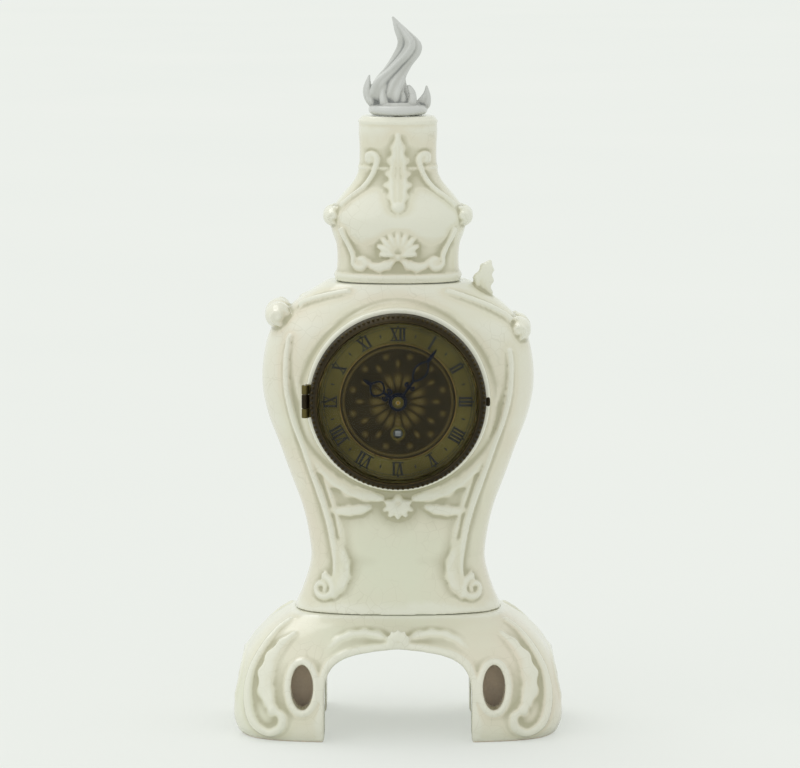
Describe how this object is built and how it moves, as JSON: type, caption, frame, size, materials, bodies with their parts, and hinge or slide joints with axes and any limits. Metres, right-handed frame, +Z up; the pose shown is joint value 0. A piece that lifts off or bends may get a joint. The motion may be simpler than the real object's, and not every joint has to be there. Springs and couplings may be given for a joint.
{
  "type": "ceramic mantel clock",
  "caption": "Waisted rococo porcelain mantel clock on scroll feet, with a hinged glazed bezel, a back door and a spring-driven pendulum movement.",
  "frame": {"origin": "middle of the footprint, on the surface that the feet stand on", "axes": "+Z up, the dial faces -Y, +X to the right as seen from the front"},
  "size_m": [0.1804, 0.1216, 0.3904],
  "materials": {
    "cream_glaze": "gloss",
    "grey_glaze": "gloss",
    "brass": "satin",
    "aged_brass": "satin",
    "dark_bronze": "satin",
    "steel": "satin",
    "blued_steel": "satin",
    "glass": "polished"
  },
  "bodies": {
    "case": {"base": "cream_glaze", "case_body": "cream_glaze", "crest": "cream_glaze", "finial": "grey_glaze", "finial_rod": "steel", "finial_nut": "steel", "finial_washer": "steel", "base_bolt_left": "steel", "base_bolt_right": "steel", "base_nut_left": "steel", "base_nut_right": "steel", "front_ring": "brass", "bezel_hinge_pin": "steel", "dial_plate": "brass", "dial_centre": "dark_bronze", "chapter_ring": "aged_brass", "dial_foot_1": "brass", "dial_foot_2": "brass", "dial_foot_3": "brass", "front_plate": "brass", "back_plate": "brass", "pillar_1": "brass", "pillar_2": "brass", "pillar_3": "brass", "pillar_4": "brass", "click_spring": "blued_steel", "suspension_cock": "brass", "rear_ring": "brass", "back_door_hinge_pin": "steel", "case_strap_left": "brass", "case_strap_right": "brass", "strap_screw_left": "steel", "strap_screw_right": "steel"},
    "bezel": {"bezel_door": "dark_bronze", "dial_glass": "glass", "glass_retainer": "brass"},
    "minute_arbor": {"centre_wheel": "brass", "cannon_pinion": "steel", "minute_hand": "blued_steel", "hand_nut": "brass"},
    "hour_pipe": {"hour_wheel": "brass", "hour_hand": "blued_steel"},
    "minute_wheel": {"minute_wheel": "brass"},
    "barrel": {"barrel": "brass", "barrel_cover": "brass", "mainspring": "blued_steel"},
    "winding_arbor": {"barrel_arbor": "steel", "ratchet_wheel": "steel"},
    "click": {"click": "steel"},
    "third_arbor": {"third_wheel": "brass"},
    "escape_arbor": {"escape_wheel": "brass"},
    "pallets": {"pallet_anchor": "steel", "crutch": "steel"},
    "pendulum": {"suspension_spring": "blued_steel", "pendulum_rod": "steel"},
    "bob": {"pendulum_bob": "brass"},
    "rating_nut": {"rating_nut": "brass"},
    "back_door": {"back_door": "brass"},
    "latch": {"door_latch": "brass"}
  },
  "joints": [
    {"name": "bezel_open", "type": "hinge", "parent": "case", "child": "bezel", "pos_m": [-0.04997, -0.0467, 0.1851], "axis": [0, 0, -1], "range_deg": [0, 115]},
    {"name": "minute_turn", "type": "hinge", "parent": "case", "child": "minute_arbor", "pos_m": [0, 0, 0.1851], "axis": [0, 1, 0], "continuous": true},
    {"name": "hour_turn", "type": "hinge", "parent": "case", "child": "hour_pipe", "pos_m": [0, 0, 0.1851], "axis": [0, 1, 0], "continuous": true},
    {"name": "minute_wheel_turn", "type": "hinge", "parent": "case", "child": "minute_wheel", "pos_m": [-0.0108, 0, 0.1851], "axis": [0, 1, 0], "continuous": true},
    {"name": "barrel_turn", "type": "hinge", "parent": "case", "child": "barrel", "pos_m": [0, 0, 0.16782], "axis": [0, 1, 0], "continuous": true},
    {"name": "third_turn", "type": "hinge", "parent": "case", "child": "third_arbor", "pos_m": [0.01306, 0, 0.19498], "axis": [0, 1, 0], "continuous": true},
    {"name": "escape_turn", "type": "hinge", "parent": "case", "child": "escape_arbor", "pos_m": [0, 0, 0.20198], "axis": [0, 1, 0], "continuous": true},
    {"name": "winding_turn", "type": "hinge", "parent": "case", "child": "winding_arbor", "pos_m": [0, 0, 0.16782], "axis": [0, 1, 0], "range_deg": [0, 1440]},
    {"name": "click_lift", "type": "hinge", "parent": "case", "child": "click", "pos_m": [0.00768, 0, 0.16266], "axis": [0, 1, 0], "range_deg": [0, 8], "stiffness_Nm_per_rad": 0.002},
    {"name": "pendulum_swing", "type": "hinge", "parent": "case", "child": "pendulum", "pos_m": [0, 0.003, 0.214], "axis": [0, 1, 0], "range_deg": [-4, 4]},
    {"name": "pallet_rock", "type": "hinge", "parent": "case", "child": "pallets", "pos_m": [0, 0, 0.214], "axis": [0, 1, 0], "range_deg": [-4, 4]},
    {"name": "bob_slide", "type": "slide", "parent": "pendulum", "child": "bob", "axis": [0, 0, 1], "range_m": [-0.0009, 0.0009]},
    {"name": "nut_turn", "type": "hinge", "parent": "bob", "child": "rating_nut", "pos_m": [0, 0.003, 0.0769], "axis": [0, 0, 1], "range_deg": [-540, 540]},
    {"name": "back_door_open", "type": "hinge", "parent": "case", "child": "back_door", "pos_m": [0.04997, 0.0467, 0.1851], "axis": [0, 0, -1], "range_deg": [0, 110]},
    {"name": "latch_turn", "type": "hinge", "parent": "back_door", "child": "latch", "pos_m": [-0.03457, 0.0467, 0.1851], "axis": [0, -1, 0], "range_deg": [0, 90]}
  ],
  "couplings": [
    {"joint": "hour_turn", "follows": "minute_turn", "ratio": 0.083333},
    {"joint": "minute_wheel_turn", "follows": "minute_turn", "ratio": -0.33333},
    {"joint": "barrel_turn", "follows": "minute_turn", "ratio": -0.125},
    {"joint": "third_turn", "follows": "minute_turn", "ratio": -12},
    {"joint": "escape_turn", "follows": "minute_turn", "ratio": 144},
    {"joint": "pallet_rock", "follows": "pendulum_swing", "ratio": 1},
    {"joint": "nut_turn", "follows": "bob_slide", "rad_per_m": 10472}
  ]
}
